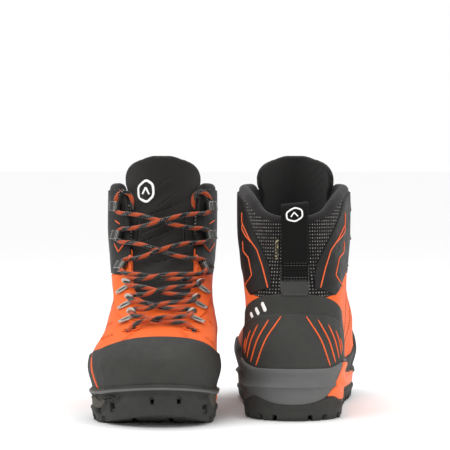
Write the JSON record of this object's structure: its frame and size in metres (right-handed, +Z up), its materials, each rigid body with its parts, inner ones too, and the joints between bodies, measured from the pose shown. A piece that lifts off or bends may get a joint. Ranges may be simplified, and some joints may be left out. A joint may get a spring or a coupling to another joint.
{
  "type": "pair of mountaineering boots",
  "caption": "Ankle-high mountaineering boots, a right and a left, with lugged soles, rubber toe caps, laces over rings and hooks, padded collars and pull loops.",
  "frame": {"origin": "on the ground, in the middle of the pair's bounding box", "axes": "+Z up; +Y along the boots, the way the left boot points (the right boot points to -Y); +X from the right boot to the left one"},
  "size_m": [0.2418, 0.3639, 0.2241],
  "materials": {
    "outsole_rubber": "matte moulded rubber",
    "midsole_foam": "satin foam skin",
    "insert_foam": "satin foam skin",
    "shank_composite": "matte",
    "board": "fibre board",
    "footbed_felt": "felt",
    "upper_textile": "fine woven microfibre",
    "cuff_knit": "knit with light flecks",
    "stiffener": "matte",
    "lining_mesh": "padded mesh",
    "cap_rubber": "matte rubber",
    "heel_rubber": "matte rubber",
    "accent_rubber": "matte",
    "overlay_film": "satin film",
    "tongue_fabric": "soft shell fabric",
    "badge": "matte print",
    "ring_metal": "brushed",
    "hook_metal": "black lacquer, bright edges",
    "rivet_metal": "brushed",
    "loop_tape": "woven tape",
    "lace_cord": "braided cord",
    "webbing": "woven webbing",
    "tag": "woven tape"
  },
  "bodies": {
    "right_boot": {"right_outsole": "outsole_rubber", "right_midsole": "midsole_foam", "right_midsole_insert": "insert_foam", "right_shank": "shank_composite", "right_insole_board": "board", "right_upper": "upper_textile", "right_ankle_cuff": "cuff_knit", "right_toe_puff": "stiffener", "right_heel_counter": "stiffener", "right_lining": "lining_mesh", "right_collar_pad": "lining_mesh", "right_toe_cap": "cap_rubber", "right_side_rand": "cap_rubber", "right_heel_cap": "heel_rubber", "right_heel_ribs": "accent_rubber", "right_cuff_overlay": "overlay_film", "right_cuff_piping": "accent_rubber", "right_facings": "overlay_film", "right_tongue": "tongue_fabric", "right_lace_rings": "ring_metal", "right_speed_hooks": "hook_metal", "right_rivets": "rivet_metal", "right_toe_lace_loops": "loop_tape", "right_lace": "lace_cord", "right_heel_strap_patch": "webbing", "right_side_tag": "tag"},
    "right_footbed": {"right_footbed": "footbed_felt"},
    "right_tongue_top": {"right_tongue_top": "tongue_fabric", "right_tongue_badge": "badge"},
    "right_pull_loop": {"right_pull_loop": "webbing"},
    "left_boot": {"left_outsole": "outsole_rubber", "left_midsole": "midsole_foam", "left_midsole_insert": "insert_foam", "left_shank": "shank_composite", "left_insole_board": "board", "left_upper": "upper_textile", "left_ankle_cuff": "cuff_knit", "left_toe_puff": "stiffener", "left_heel_counter": "stiffener", "left_lining": "lining_mesh", "left_collar_pad": "lining_mesh", "left_toe_cap": "cap_rubber", "left_side_rand": "cap_rubber", "left_heel_cap": "heel_rubber", "left_heel_ribs": "accent_rubber", "left_cuff_overlay": "overlay_film", "left_cuff_piping": "accent_rubber", "left_facings": "overlay_film", "left_tongue": "tongue_fabric", "left_lace_rings": "ring_metal", "left_speed_hooks": "hook_metal", "left_rivets": "rivet_metal", "left_toe_lace_loops": "loop_tape", "left_lace": "lace_cord", "left_heel_strap_patch": "webbing", "left_side_tag": "tag"},
    "left_footbed": {"left_footbed": "footbed_felt"},
    "left_tongue_top": {"left_tongue_top": "tongue_fabric", "left_tongue_badge": "badge"},
    "left_pull_loop": {"left_pull_loop": "webbing"}
  },
  "joints": [
    {"name": "boots_apart", "type": "slide", "parent": "right_boot", "child": "left_boot", "axis": [1, 0, 0], "range_m": [0, 0.15]},
    {"name": "right_tongue_fold", "type": "hinge", "parent": "right_boot", "child": "right_tongue_top", "pos_m": [-0.0603, 0.00474, 0.1832], "axis": [0.9998, -0.0202, 0], "range_deg": [0, 50], "stiffness_Nm_per_rad": 0.05},
    {"name": "right_footbed_lift", "type": "hinge", "parent": "right_boot", "child": "right_footbed", "pos_m": [-0.06369, -0.16262, 0.0273], "axis": [0.9998, -0.0202, 0], "range_deg": [0, 8]},
    {"name": "right_loop_fold", "type": "hinge", "parent": "right_boot", "child": "right_pull_loop", "pos_m": [-0.05809, 0.11392, 0.1375], "axis": [-0.9998, 0.0202, 0], "range_deg": [0, 75], "stiffness_Nm_per_rad": 0.02},
    {"name": "left_tongue_fold", "type": "hinge", "parent": "left_boot", "child": "left_tongue_top", "pos_m": [0.05949, -0.00402, 0.1832], "axis": [-0.9989, 0.0478, 0], "range_deg": [0, 50], "stiffness_Nm_per_rad": 0.05},
    {"name": "left_footbed_lift", "type": "hinge", "parent": "left_boot", "child": "left_footbed", "pos_m": [0.0675, 0.16319, 0.0273], "axis": [-0.9989, 0.0478, 0], "range_deg": [0, 8]},
    {"name": "left_loop_fold", "type": "hinge", "parent": "left_boot", "child": "left_pull_loop", "pos_m": [0.05427, -0.11309, 0.1375], "axis": [0.9989, -0.0478, 0], "range_deg": [0, 75], "stiffness_Nm_per_rad": 0.02}
  ]
}
